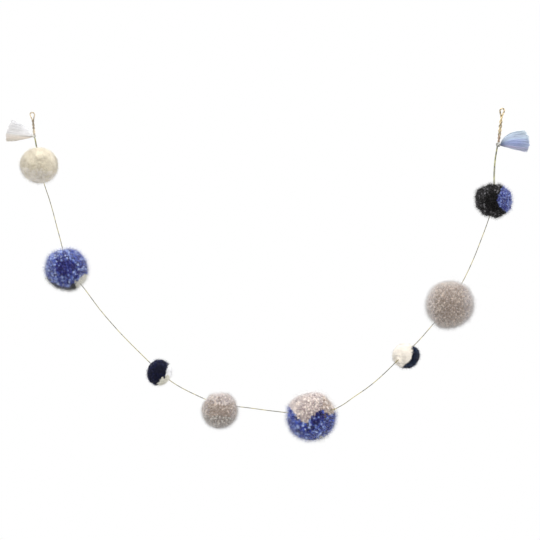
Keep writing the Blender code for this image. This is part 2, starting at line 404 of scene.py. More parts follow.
def twistTree(plies):
    # sweeps twisted plies along lines
    tree, given = newTree("twistPlies", {
        "Geometry": "Geometry", "Thread Thickness": "Float", "Ply Thickness": "Float",
        "Twist Pitch": "Float", "Ring Spacing": "Float", "Ply Sides": "Int", "Material": "Material",
    })
    line = addNode(tree, "GeometryNodeMeshToCurve", {}, {"Mesh": given["Geometry"]})
    rings = addNode(tree, "GeometryNodeResampleCurve", {"mode": "LENGTH"},
                    {"Curve": line, "Length": given["Ring Spacing"]})
    reached = addNode(tree, "GeometryNodeSplineParameter", {}, {}, "Length")
    tilted = addNode(tree, "GeometryNodeSetCurveTilt", {},
                     {"Curve": rings, "Tilt": reached * tau / given["Twist Pitch"]})
    marked = storePoints(tree, tilted, "reached", reached)
    apart = (given["Thread Thickness"] - given["Ply Thickness"]) / 2
    sections = []
    for ply in range(plies):
        circle = ribbonSection(tree, given["Ply Thickness"] / 2, given["Ply Sides"], ply)
        offset = addNode(tree, "ShaderNodeCombineXYZ", {},
                         {0: apart * cos(tau * ply / plies), 1: apart * sin(tau * ply / plies)})
        sections.append(addNode(tree, "GeometryNodeTransform", {},
                                {"Geometry": circle, "Translation": offset}))
    profile = addNode(tree, "GeometryNodeJoinGeometry", {}, {0: sections[::-1]})
    swept = addNode(tree, "GeometryNodeCurveToMesh", {},
                    {"Curve": marked, "Profile Curve": profile, "Fill Caps": True})
    smooth = addNode(tree, "GeometryNodeSetShadeSmooth", {}, {"Geometry": swept})
    endTree(tree, smooth, given["Material"])
    return tree


ribbonSlack = 1.01  # of a ribbon's length in the map
ribbonInset = 0.1  # of its width, free on both sides


def mapRibbons(mesh, lines, girth, plies=1):
    # a map of each ply as a ribbon, cut into rows that fill a square
    lengths = np.repeat([lengthOf(points) * ribbonSlack for points in lines], plies)
    corners = cornerPoints(mesh)
    starts = np.zeros(len(mesh.polygons), np.int32)
    mesh.polygons.foreach_get("loop_start", starts)
    sizes = np.diff(np.append(starts, len(corners)))
    names = ("line", "ply", "reached", "turn")
    line, ply, reached, turn = (readPoints(mesh, name, 1)[corners] for name in names)
    rows = ceil((lengths.sum() / girth) ** 0.5)
    rowLength = lengths.sum() / rows
    ribbon = np.rint(line * plies + ply).astype(int)
    place = (np.cumsum(lengths) - lengths)[ribbon] + reached
    lowest = np.repeat(np.minimum.reduceat(place, starts), sizes)
    row = np.clip(np.floor(lowest / rowLength), 0, rows - 1)
    furthest = np.repeat(np.maximum.reduceat(turn, starts), sizes)
    turn = np.where(turn < furthest - 0.5, turn + 1, turn)
    across = ribbonInset + (1 - 2 * ribbonInset) * turn
    spots = np.column_stack([np.clip(place / rowLength - row, 0, 1), (row + across) / rows])
    mapCorners(mesh, spots)


def goldMaterial(name, looks):
    # plies of matt thread and of metal thread; the metal reflects the light, and noise along both mixes a
    # dark and a light colour, partly the thread's own dashes and partly painted glints
    material, tree, shader = newMaterial(name)
    ply = readAttribute(tree, "ply", "Fac")
    place = addNode(tree, "ShaderNodeTexCoord", {}, {}, "Object")
    glintFleck = softSteps(tree, noiseAt(tree, place, looks["glintFleckScale"], 3.0), *looks["glintFleckSteps"])
    fibre = noiseAt(tree, place, looks["fibreScale"], 2.0)
    height = addNode(tree, "ShaderNodeSeparateXYZ", {}, {"Vector": place}, 2)
    metal = ply.maths("GREATER_THAN", ply, looks["mattPlies"] - 0.5)
    end = softSteps(tree, height, *looks["endHeights"]) * looks["endShare"]
    # painted glints: where the noise is high, the light colours stand in for highlights on the thread
    matt = mixColours(tree, glintFleck, looks["mattDark"], looks["mattLight"])
    shine = mixColours(tree, glintFleck, looks["goldDark"], looks["goldLight"])
    finish = mixColours(tree, glintFleck, looks["endDark"], looks["endLight"])
    colour = mixColours(tree, end, mixColours(tree, metal, matt, shine), finish)
    bump = bumpOf(tree, fibre, 0.2 * mm, 0.6)
    plug(tree, shader, Base_Color=colour, Metallic=metal * looks["metallic"] * (1.0 - end),
         Roughness=looks["roughness"] - looks["polish"] * metal + 0.15 * glintFleck, Normal=bump)
    coat(shader, looks)
    return material


# shared by the cord, the loops and the knots, each of which may say otherwise
threadLooks = {
    "ringSpacing": 0.5 * mm,
    "plySides": 6,
    "mattPlies": 1,
    "endDark": screen(150, 150, 140),
    "endLight": screen(150, 150, 140),
    "endHeights": (1.0, 2.0),  # the colour of the ends sets in between these
    "endShare": 0.0,
    "glintFleckSteps": (0.36, 0.64),  # the lower, the more there is of the light colour, partly painted glint
    "fibreScale": 3600.0,
    "roughness": 0.75,
    "polish": 0.35,  # how much less rough the metal is
    "specular": 0.25,
    "sheenRoughness": 0.5,
    "softness": 0.0,
}

cordLooks = {
    **threadLooks,
    "thickness": 1.6 * mm,
    "plyThickness": 0.9 * mm,
    "pitch": 3.9 * mm,
    "ringSpacing": 0.62 * mm,
    "plySides": 5,
    "mattDark": screen(66, 62, 30),
    "mattLight": screen(178, 168, 112),
    "goldDark": screen(50, 46, 16),
    "goldLight": screen(184, 170, 98),
    "endDark": screen(84, 84, 46),
    "endLight": screen(180, 178, 118),
    "endHeights": (-0.128, -0.118),
    "endShare": 0.95,
    "metallic": 0.25,
    "sheen": 0.0,
    "glintFleckScale": 110.0,
    "fibreScale": 4200.0,
}

# the route from the left knot to the right one, as x, y and z in metres
cordRoute = [
    (0.0041, 0, -0.0438), (0.0133, 0, -0.091), (0.021, 0, -0.124), (0.0303, 0, -0.152),
    (0.0475, 0, -0.215), (0.0625, 0, -0.266), (0.073, 0, -0.285), (0.087, 0, -0.302),
    (0.121, 0, -0.347), (0.146, 0, -0.376), (0.202, 0, -0.433), (0.2215, 0, -0.452),
    (0.2395, 0, -0.467), (0.29, 0, -0.495), (0.333, 0, -0.5115), (0.362, 0, -0.514),
    (0.425, 0, -0.522), (0.469, 0, -0.5262), (0.49, -0.002, -0.5255), (0.51, -0.013, -0.522),
    (0.525, -0.022, -0.518), (0.542, -0.022, -0.5095), (0.563, -0.015, -0.4955),
    (0.585, -0.01, -0.481), (0.6025, -0.01, -0.467), (0.6175, -0.013, -0.453),
    (0.6295, -0.016, -0.441), (0.641, -0.013, -0.4305), (0.654, -0.003, -0.42),
    (0.668, 0, -0.407), (0.7, 0, -0.3715), (0.7295, 0, -0.335), (0.754, 0, -0.294),
    (0.769, 0, -0.263), (0.7855, 0, -0.222), (0.8, 0, -0.181), (0.8085, 0, -0.14),
    (0.8096, 0, -0.1), (0.811, 0, -0.0805), (0.8144, 0, -0.0599),
]
# its tied ends, left and right: how long, and how far beside the cord at the knot and at the end
cordEnds = [(24 * mm, 1.2 * mm, 1.5 * mm), (66 * mm, -1.2 * mm, -1.9 * mm)]
endForward = 0.3 * mm
cordLine = smoothLine([Vector(point) for point in cordRoute])
cordLength = lengthOf(cordLine)
twoPlies = twistTree(2)
threePlies = twistTree(3)


def cordTails():
    # the tied ends, which run from each knot along the cord into the nearest pom pom
    tails = []
    for points, (length, near, far) in zip((cordLine, cordLine[::-1]), cordEnds):
        run = [point for point in points if (point - points[0]).length < length]
        shares = [place / (len(run) - 1) for place in range(len(run))]
        tails.append([point + Vector((near + (far - near) * share ** 2, -endForward, 0))
                      for point, share in zip(run, shares)])
    return tails


def growThreads(name, lines, tree, looks, material, plies):
    # twisted thread along each line, as one mesh
    mesh = grow(name, lineMesh(name + "_lines", lines), tree, {
        "Thread Thickness": looks["thickness"], "Ply Thickness": looks["plyThickness"],
        "Twist Pitch": looks["pitch"], "Ring Spacing": looks["ringSpacing"],
        "Ply Sides": looks["plySides"], "Material": material,
    })
    mapRibbons(mesh, lines, looks["plyThickness"] * pi, plies)
    print(f"stage: {name}, {countTriangles(mesh)} triangles")
    return mesh


cordMaterial = goldMaterial("goldThread", cordLooks)
cordMesh = growThreads("cord_twist", [cordLine] + cordTails(), twoPlies, cordLooks, cordMaterial, 2)
cord = addPiece("cord_twist", cordMesh, "gold_thread", "cord")
evenPoints(cordLine, 400)


loopLooks = {
    **threadLooks,
    "thickness": 2.6 * mm,
    "plyThickness": 1.35 * mm,
    "pitch": 6.0 * mm,
    "mattDark": screen(140, 124, 112),
    "mattLight": screen(222, 208, 194),
    "goldDark": screen(122, 110, 88),
    "goldLight": screen(218, 204, 174),
    "endDark": screen(166, 142, 126),
    "endLight": screen(212, 192, 176),
    "endHeights": (-0.038, -0.041),
    "endShare": 0.75,
    "metallic": 0.3,
    "sheen": 0.1,
    "glintFleckScale": 150.0,
}
strandSpacing = 2.1 * mm
eyeHalfWidth = 3.5 * mm
twistEase = 1.2  # above 1, the twist slackens towards the eye
teardropWidest = 0.75

# a loop runs from its foot on the knot up to the eye's top and back, its two legs twisted
loops = [
    {"node": "hanging_loop_left", "knot": "knot_left", "top": (0.0, 0.9), "foot": (3.6, -37.4),
     "eyeHeight": 13.5, "turn": 0.0, "twists": 2.0, "spread": 0.0, "looks": {}},
    {"node": "hanging_loop_right", "knot": "knot_right", "top": (822.9, 7.7), "foot": (816.2, -50.7),
     "eyeHeight": 13.5, "turn": 8.0, "twists": 3.0, "spread": 0.6,
     "looks": {"thickness": 2.9 * mm, "plyThickness": 1.5 * mm, "mattDark": screen(200, 180, 138),
               "mattLight": screen(240, 224, 188), "goldDark": screen(88, 76, 52),
               "goldLight": screen(200, 180, 136), "endHeights": (-0.036, -0.042)}},
]


def inPlane(x, z):
    # a point of the swag's plane, from millimetres
    return Vector((x, 0, z)) * mm


def teardrop(share):
    return share * (share * (1 - share)) ** 0.5


def legOffset(rise, neck, row):
    # how far a leg is from the loop's middle, and which way, at a height from 0 to 1
    if rise < neck:
        left = 1 - rise / neck
        apart = strandSpacing / 2 + row["spread"] * mm * sin(pi * rise / neck)
        return apart, radians(row["turn"]) + tau * row["twists"] * left ** twistEase
    share = (rise - neck) / (1 - neck)
    bulge = eyeHalfWidth * teardrop(share) / teardrop(teardropWidest)
    return strandSpacing / 2 * (1 - share) + bulge, radians(row["turn"])


def loopLine(row, steps=60):
    # up one twisted leg, round the eye and down the other
    foot, top = inPlane(*row["foot"]), inPlane(*row["top"])
    neck = 1 - row["eyeHeight"] / (row["top"][1] - row["foot"][1])
    rises = [neck * step / steps for step in range(steps)]
    rises += [neck + (1 - neck) * (1 - cos(pi * step / steps)) / 2 for step in range(steps + 1)]
    up, down = [], []
    for rise in rises:
        apart, angle = legOffset(rise, neck, row)
        offset = Vector((cos(angle), sin(angle), 0)) * apart
        middle = foot.lerp(top, rise)
        up.append(middle + offset)
        down.append(middle - offset)
    return up + down[-2::-1]


loopLines = {}
for row in loops:
    line = loopLine(row)
    loopLines[row["knot"]] = line
    looks = {**loopLooks, **row["looks"]}
    material = goldMaterial(row["node"] + "_gold", looks)
    loopMesh = growThreads(row["node"] + "_strand", [line], threePlies, looks, material, 3)
    addPiece(row["node"] + "_strand", loopMesh, "gold_cord", row["node"])


knotLooks = {
    **threadLooks,
    "thickness": 1.7 * mm,
    "plyThickness": 0.92 * mm,
    "pitch": 5.0 * mm,
    "mattDark": screen(176, 174, 170),
    "mattLight": screen(226, 224, 220),
    "goldDark": screen(150, 148, 138),
    "goldLight": screen(222, 218, 204),
    "metallic": 0.1,
    "sheen": 0.2,
    "glintFleckScale": 300.0,
    "taper": 0.3,  # of the wraps towards the knot's foot and top
    "crossing": 0.62,  # how far the last turn stands out, in thicknesses
}
knots = [
    {"node": "knot_left", "x": 3.7, "z": -40.8, "halfWidth": 2.8, "halfHeight": 2.7,
     "tilt": 12.0, "wraps": 3, "cordEnd": cordLine[0], "looks": {}},
    {"node": "knot_right", "x": 815.1, "z": -55.5, "halfWidth": 3.8, "halfHeight": 4.2,
     "tilt": -14.0, "wraps": 4, "cordEnd": cordLine[-1],
     "looks": {"mattDark": screen(136, 136, 134), "mattLight": screen(202, 202, 200),
               "goldDark": screen(132, 130, 124), "goldLight": screen(200, 196, 186)}},
]


def knotLine(row, steps=18):
    # wraps from the foot of the knot to its top, then one turn down across its front
    ring = row["halfWidth"] * mm - knotLooks["thickness"] / 2
    height = row["halfHeight"] * mm - knotLooks["thickness"] / 2
    points = [Vector((0, 0, -height))]
    for step in range(row["wraps"] * steps + 1):
        share = step / (row["wraps"] * steps)
        rise = 2 * share - 1
        angle = tau * row["wraps"] * share
        reach = ring * (1 - knotLooks["taper"] * rise * rise)
        points.append(Vector((reach * cos(angle), reach * sin(angle), height * rise)))
    for step in range(1, steps + 1):
        share = step / steps
        angle = -pi * share
        reach = ring + knotLooks["thickness"] * knotLooks["crossing"] * sin(pi * share)
        points.append(Vector((reach * cos(angle), reach * sin(angle), height * cos(pi * share))))
    points.append(Vector((0, 0, -height * 0.5)))
    turn = Matrix.Rotation(radians(row["tilt"]), 4, "Y")
    return smoothLine([turn @ point + inPlane(row["x"], row["z"]) for point in points], 3)


def tieLines(row):
    # the ends inside the knot, of the cord and of the loop's two legs
    centre = inPlane(row["x"], row["z"])
    legs = loopLines[row["node"]]
    return [[centre, (centre + end) / 2, end] for end in (row["cordEnd"], legs[0], legs[-1])]


for row in knots:
    knotMaterial = goldMaterial(row["node"] + "_cord", {**knotLooks, **row["looks"]})
    lines = [knotLine(row)] + tieLines(row)
    knotMesh = growThreads(row["node"] + "_wraps", lines, threePlies, knotLooks, knotMaterial, 3)
    addPiece(row["node"] + "_wraps", knotMesh, "gold_cord", row["node"])


tasselLooks = {
    "threads": 470,
    "fillers": 150,  # thicker threads inside, so that no gap shows
    "fillerGirth": 4.5,
    "thickness": 0.46 * mm,
    "sides": 3,
    "points": 13,
    "rootDepth": 2.6,
    "fill": 0.8,  # below 1, the depth grows faster near the root
    "wander": 0.035,  # of a thread across the fan, as a share of it
    "ragged": 0.045,  # of the cut ends, as a share of the length
    "fillerWander": 0.3,  # of the wander
    "strayEvery": 29,  # one thread in so many wanders further
    "strayWander": 2.2,
    "waves": (1.2, 3.4),  # half turns of a thread along its length
    "tone": 0.035,  # how far threads differ in shade
    "mixed": 0.02,  # how far the bands of colour run into each other
    "clumps": 0.03,  # how far whole clumps of threads are cut shorter or longer
    "rootGirth": 0.45,
    "fullFrom": 0.3,  # along a thread, where it has its whole thickness
    "endGirth": 0.8,
    "tipFrom": 0.75,
    "tipLeast": 0.3,  # of the pale tips, at the lower edge
    # painted shade at the root of the threads, where they gather
    "rootPaintedShade": 0.85,
    "paintedShadowDark": 0.85,
    "streakScale": 320.0,
    "fibreScale": 5200.0,
    "specular": 0.45,
    "sheenRoughness": 0.4,
    "sheen": 0.1,
    "softness": 0.0,
    "roundness": 1.2,
}

# each edge of the fan starts at the root, bends at the bend and ends at the end, from the knot's middle;
# the fillers reach out to a share of the fan, and the threads lie in a layer round them, thin near 1;
# the colours run from the low edge to the top one, as the share across and the colour; a painted shadow
# line darkens the threads at its place across, as wide as the second number and up to the third along
# them
tassels = [
    {"node": "tassel_left", "slot": "tassel_white", "knot": knots[0], "side": -1, "rootHalf": 1.3,
     "seed": 31, "fillerReach": 0.87, "layer": 0.8,
     "topBend": (-5.4, 15.0), "topEnd": (-38.5, 27.7), "lowBend": (-20.5, -7.0), "lowEnd": (-47.5, -8.4),
     "bow": 3.0, "depth": 17.0, "root": screen(176, 174, 170), "rootShare": 0.10,
     "tip": screen(238, 237, 236), "tipShare": 0.2, "streak": (0.30, 0.05, 0.7),
     "colours": [(0.0, (222, 214, 202)), (0.10, (233, 224, 212)), (0.22, (230, 219, 208)),
                 (0.32, (219, 214, 209)), (0.40, (224, 222, 222)), (0.6, (222, 220, 220)),
                 (0.85, (217, 216, 217)), (1.0, (212, 213, 215))]},
    {"node": "tassel_right", "slot": "tassel_blue", "knot": knots[1], "side": 1, "rootHalf": 1.9,
     "seed": 32, "fillerReach": 0.94, "layer": 0.55,
     "topBend": (12.4, 23.5), "topEnd": (45.6, 24.9), "lowBend": (16.5, -5.4), "lowEnd": (49.4, -12.6),
     "bow": 5.5, "depth": 19.0, "root": screen(56, 64, 84), "rootShare": 0.33,
     "tip": screen(224, 238, 242), "tipShare": 0.48, "streak": None,
     "colours": [(0.0, (184, 192, 216)), (0.10, (206, 204, 232)), (0.18, (174, 186, 220)),
                 (0.34, (164, 177, 220)), (0.55, (172, 186, 224)), (0.66, (198, 210, 232)),
                 (0.84, (196, 210, 229)), (1.0, (190, 205, 220))]},
]


def bendThrough(start, middle, end, share):
    return start.lerp(middle, share).lerp(middle.lerp(end, share), share)


def fanPoint(row, along, across, deep):
    # a point of the fan, along its threads, across from its low to its top edge, and in depth
    rootX = row["side"] * (row["knot"]["halfWidth"] + gap / mm)
    low, top = (bendThrough(Vector((rootX, way * row["rootHalf"])), Vector(row[edge + "Bend"]),
                            Vector(row[edge + "End"]), along)
                for way, edge in ((-1, "low"), (1, "top")))
    point = low.lerp(top, across)
    point.x += row["side"] * row["bow"] * along * along * sin(pi * min(max(across, 0), 1))
    spread = along ** tasselLooks["fill"]
    depth = tasselLooks["rootDepth"] * (1 - spread) + row["depth"] * spread
    return Vector((point.x + row["knot"]["x"], deep * depth / 2, point.y + row["knot"]["z"])) * mm


def fanThreads(row):
    # every thread's points, with the colour and thickness at each
    draw = np.random.default_rng(row["seed"])
    shares = [share for share, _ in row["colours"]]
    bands = np.array([screen(*colour)[:3] for _, colour in row["colours"]])
    look, fillers, steps = tasselLooks, tasselLooks["fillers"], tasselLooks["points"]
    lines, colours, girths, aways = [], [], [], []
    for thread in range(fillers + look["threads"]):
        if thread < fillers:
            out = ((thread + 0.5) / fillers) ** 0.5 * row["fillerReach"]
            thick, stray = look["fillerGirth"], look["fillerWander"]
        else:
            out, thick = draw.uniform(row["layer"], 1) ** 0.5, 1.0
            stray = look["strayWander"] if thread % look["strayEvery"] == 0 else 1.0
        angle = thread * radians(137.5)  # the turn that fills a disc evenly
        across, deep = 0.5 + 0.5 * out * cos(angle), out * sin(angle)
        wave = draw.normal(0, look["wander"]) * stray
        phase, rate = draw.uniform(0, tau), draw.uniform(*look["waves"])
        length = 1 + draw.uniform(-1, 0.55) * look["ragged"]
        length += look["clumps"] * noise.noise(Vector((across * 9, deep * 3, row["seed"])))
        tone = 1 + draw.normal(0, look["tone"])
        base = np.array([np.interp(across + draw.normal(0, look["mixed"]), shares, bands[:, channel])
                         for channel in range(3)])
        line = []
        for step in range(steps):
            along = length * step / (steps - 1)
            drift = wave * along * sin(rate * along * pi + phase)
            line.append(fanPoint(row, along, across + drift, deep * (1 + drift)))
            span = fanPoint(row, along, 1, 0) - fanPoint(row, along, 0, 0)
            depth = fanPoint(row, along, 0, 1).y * 2
            away = span * cos(angle) / span.length_squared + Vector((0, sin(angle) / depth, 0))
            aways.append(away.normalized())
            # painted shade: the threads darken towards the gathered root, mixing into the root colour
            dark = exp(-((along / row["rootShare"]) ** 2)) * look["rootPaintedShade"]
            pale = row["tipShare"] * max(0.0, (along - look["tipFrom"]) / (1 - look["tipFrom"]))
            pale *= look["tipLeast"] + (1 - look["tipLeast"]) * across
            shade = base * tone * (1 - dark) + np.array(row["root"][:3]) * dark
            # painted shadow line between the upper and the lower group of threads
            if row["streak"]:
                spot, wide, reach = row["streak"]
                paintedShadow = exp(-((across + drift - spot) / wide) ** 2) * max(0.0, 1 - along / reach)
                shade = shade * (1 - look["paintedShadowDark"] * paintedShadow)
            colours.append(shade * (1 - pale) + np.array(row["tip"][:3]) * pale)
            girth = look["rootGirth"] + thick * min(1.0, along / look["fullFrom"])
            girths.append(min(thick, girth * (look["endGirth"] if step == steps - 1 else 1.0)))
        lines.append(line)
    return lines, np.array(colours), girths, aways


def sweepTree():
    # sweeps one round thread along each line, with its own thickness and colour
    tree, given = newTree("sweepThreads", {
        "Geometry": "Geometry", "Thread Thickness": "Float", "Sides": "Int", "Material": "Material",
    })
    line = addNode(tree, "GeometryNodeMeshToCurve", {}, {"Mesh": given["Geometry"]})
    reached = addNode(tree, "GeometryNodeSplineParameter", {}, {}, "Length")
    marked = storePoints(tree, line, "reached", reached)
    girth = addNode(tree, "GeometryNodeInputNamedAttribute", {"data_type": "FLOAT"}, {"Name": "girth"})
    circle = ribbonSection(tree, given["Thread Thickness"] / 2, given["Sides"], 0)
    swept = addNode(tree, "GeometryNodeCurveToMesh", {},
                    {"Curve": marked, "Profile Curve": circle, "Scale": girth, "Fill Caps": True})
    smooth = addNode(tree, "GeometryNodeSetShadeSmooth", {}, {"Geometry": swept})
    endTree(tree, smooth, given["Material"])
    return tree


def silkMaterial(name, looks):
    # smooth thread with a soft lustre and a little streak along it
    material, tree, shader = newMaterial(name)
    thread = readAttribute(tree, "yarnColour", "Color")
    place = addNode(tree, "ShaderNodeTexCoord", {}, {}, "Object")
    streak = noiseAt(tree, place, looks["streakScale"], 3.0)
    fibre = noiseAt(tree, place, looks["fibreScale"], 1.0)
    colour = vectorMaths(tree, "SCALE", thread, scale=0.9 + 0.2 * streak)
    facing = roundOff(tree, bumpOf(tree, fibre, 0.1 * mm, 0.3), looks["roundness"])
    plug(tree, shader, Base_Color=colour, Roughness=0.42 + 0.2 * streak, Normal=facing)
    coat(shader, looks)
    return material


fanSweep = sweepTree()
for row in tassels:
    lines, colours, girths, aways = fanThreads(row)
    source = lineMesh(row["node"] + "_lines", lines)
    paintPoints(source, colours)
    writeValues(source, "girth", "FLOAT", girths)
    writeValues(source, "outward", "FLOAT_VECTOR", aways)
    tasselMesh = grow(row["node"] + "_threads", source, fanSweep, {
        "Thread Thickness": tasselLooks["thickness"], "Sides": tasselLooks["sides"],
        "Material": silkMaterial(row["node"] + "_silk", tasselLooks),
    })
    mapRibbons(tasselMesh, lines, tasselLooks["thickness"] * pi)
    addPiece(row["node"] + "_threads", tasselMesh, row["slot"], row["node"])
    print(f"stage: {row['node']}, {countTriangles(tasselMesh)} triangles")


# each yarn: its dyes in the order in which they follow along it, with the share and the colour on screen
# of each; how much they gather in patches, the painted shade at an end's root and on the core between the
# ends, how far the ends differ in tone, and how much painted light whitens the loose fibres
yarns = {
    "cream": {"dyes": [(0.9, (245, 233, 205)), (0.1, (235, 221, 192))],
              "gather": 0, "root": 0.97, "core": 0.98, "spread": 0.05, "bleach": 0.3},
    "creamPale": {"dyes": [(1.0, (253, 243, 226))],
                  "gather": 0, "root": 0.99, "core": 0.99, "spread": 0.04, "bleach": 0.6},
    "creamWhite": {"dyes": [(1.0, (247, 238, 224))],
                   "gather": 0, "root": 1.0, "core": 0.86, "spread": 0.04, "bleach": 0.9},
    "white": {"dyes": [(1.0, (236, 236, 238))],
              "gather": 0, "root": 1.0, "core": 0.97, "spread": 0.04, "bleach": 0.9},
    "taupe": {"dyes": [(0.30, (149, 129, 115)), (0.48, (175, 154, 139)), (0.22, (216, 197, 181))],
              "gather": 1.2, "root": 0.78, "core": 0.7, "spread": 0.2, "bleach": 0.6},
    "taupeFlecked": {"dyes": [(0.42, (142, 130, 120)), (0.32, (172, 160, 150)), (0.26, (220, 212, 202))],
                     "gather": 1.2, "root": 0.74, "core": 0.64, "spread": 0.2, "bleach": 0.75},
    "taupePale": {"dyes": [(0.30, (166, 148, 146)), (0.45, (200, 184, 178)), (0.25, (232, 217, 207))],
                  "gather": 1.5, "root": 0.84, "core": 0.76, "spread": 0.16, "bleach": 0.7},
    "navy": {"dyes": [(0.75, (7, 9, 35)), (0.25, (12, 17, 50))],
             "gather": 1, "root": 0.7, "core": 0.6, "spread": 0.2, "bleach": 0.03},
    "inkNavy": {"dyes": [(0.6, (5, 8, 34)), (0.4, (4, 24, 50))],
                "gather": 4, "root": 0.7, "core": 0.6, "spread": 0.25, "bleach": 0.03},
    "black": {"dyes": [(0.9, (8, 7, 7)), (0.1, (30, 28, 31))],
              "gather": 0.6, "root": 0.6, "core": 0.5, "spread": 0.3, "bleach": 0.06},
    # painted sheen: black with grey ends for where the black pile catches the light
    "blackGrey": {"dyes": [(0.62, (12, 11, 11)), (0.22, (52, 50, 52)), (0.16, (118, 116, 120))],
                  "gather": 1.5, "root": 0.6, "core": 0.5, "spread": 0.3, "bleach": 0.1},
    "blueMix": {"dyes": [(0.24, (20, 26, 96)), (0.28, (38, 52, 146)), (0.20, (76, 96, 188)),
                         (0.17, (124, 146, 214)), (0.11, (178, 196, 238))],
                "gather": 2.5, "root": 0.7, "core": 0.45, "spread": 0.22, "bleach": 0.3},
    "blueShade": {"dyes": [(0.32, (17, 24, 98)), (0.30, (29, 45, 146)), (0.20, (62, 88, 188)),
                           (0.11, (108, 130, 200)), (0.07, (164, 182, 230))],
                  "gather": 2.5, "root": 0.7, "core": 0.45, "spread": 0.22, "bleach": 0.25},
    # painted shade: a darker blue for the front middle of poms 2 and 5
    "blueDeep": {"dyes": [(0.45, (20, 20, 94)), (0.33, (36, 30, 110)), (0.22, (62, 72, 160))],
                 "gather": 2.5, "root": 0.7, "core": 0.4, "spread": 0.22, "bleach": 0.1},
    "bluePlum": {"dyes": [(0.38, (56, 62, 132)), (0.30, (82, 94, 162)), (0.32, (124, 140, 200))],
                 "gather": 2.5, "root": 0.75, "core": 0.6, "spread": 0.15, "bleach": 0.3},
    # painted shadow: a dark brown for the shadow spot on pom 5
    "brown": {"dyes": [(1.0, (104, 88, 84))],
              "gather": 0, "root": 0.6, "core": 0.5, "spread": 0.2, "bleach": 0.1},
    "oat": {"dyes": [(0.7, (220, 217, 203)), (0.3, (206, 203, 185))],
            "gather": 1, "root": 0.95, "core": 0.95, "spread": 0.08, "bleach": 0.6},
}

pile = {
    "yarnSpacing": 2.4 * mm,
    "yarnWidth": 3.1 * mm,
    "yarnDepth": 7.0 * mm,
    "trim": 0.5 * mm,  # how unevenly the ends are cut
    "shag": 0.5 * mm,  # how far whole tufts of ends stand out or sink
    "lean": 0.2,
    "tuftLean": 3.0,  # how far whole tufts lean, in shares of lean
    "endLean": 0.45,  # and how far single ends do
    "uneven": 0.14,  # how far the ends differ in width
    "tuftSize": 9.0 * mm,
    "inset": 0.925,  # the cut ends stand at this share of the form, and loose fibres fill the rest
    "fuzzSpacing": 1.15 * mm,
    "fuzzLength": 0.12,  # as a share of the pom's width
    "fuzzWidth": 0.19 * mm,
    "fuzzSpread": 0.8,
    "coreShare": 0.91,  # of the form, to which the closed core between the ends reaches
    "coreBall": 0.84,  # of half the height, the core's least radius
    "lumpHeight": 1.4 * mm,
    "lumpScale": 2.6,
    "bulgeSpread": 24.0,
    "dimpleDepth": 4.2 * mm,
    "dimpleWidth": 6.5 * mm,
    "partingDepth": 6.0 * mm,  # how deep the pile parts over the cord
    "partingWidth": 2.4 * mm,
    "paintedShadePower": 1.6,  # above 1, the painted shade at the roots reaches further up the ends
    "sheen": 0.3,
    "softness": 0.0,
    "fibresRound": 2.6,
    "fibreShade": 0.9,  # how strongly single fibres show on an end
    "roundness": 0.5,  # how far the light treats the pile as one round form
    "ragged": 0.035,  # how far the edges of patches wander
    "rimLightPainted": 0.85,  # the pale grey of loose fibres whitened as painted rim light
    "cloudScale": 55.0,
    "cloudShade": 0.14,  # how far soft clouds darken the wool
    "roughness": 0.84,
    "specular": 0.2,
    "sheenRoughness": 0.45,
}

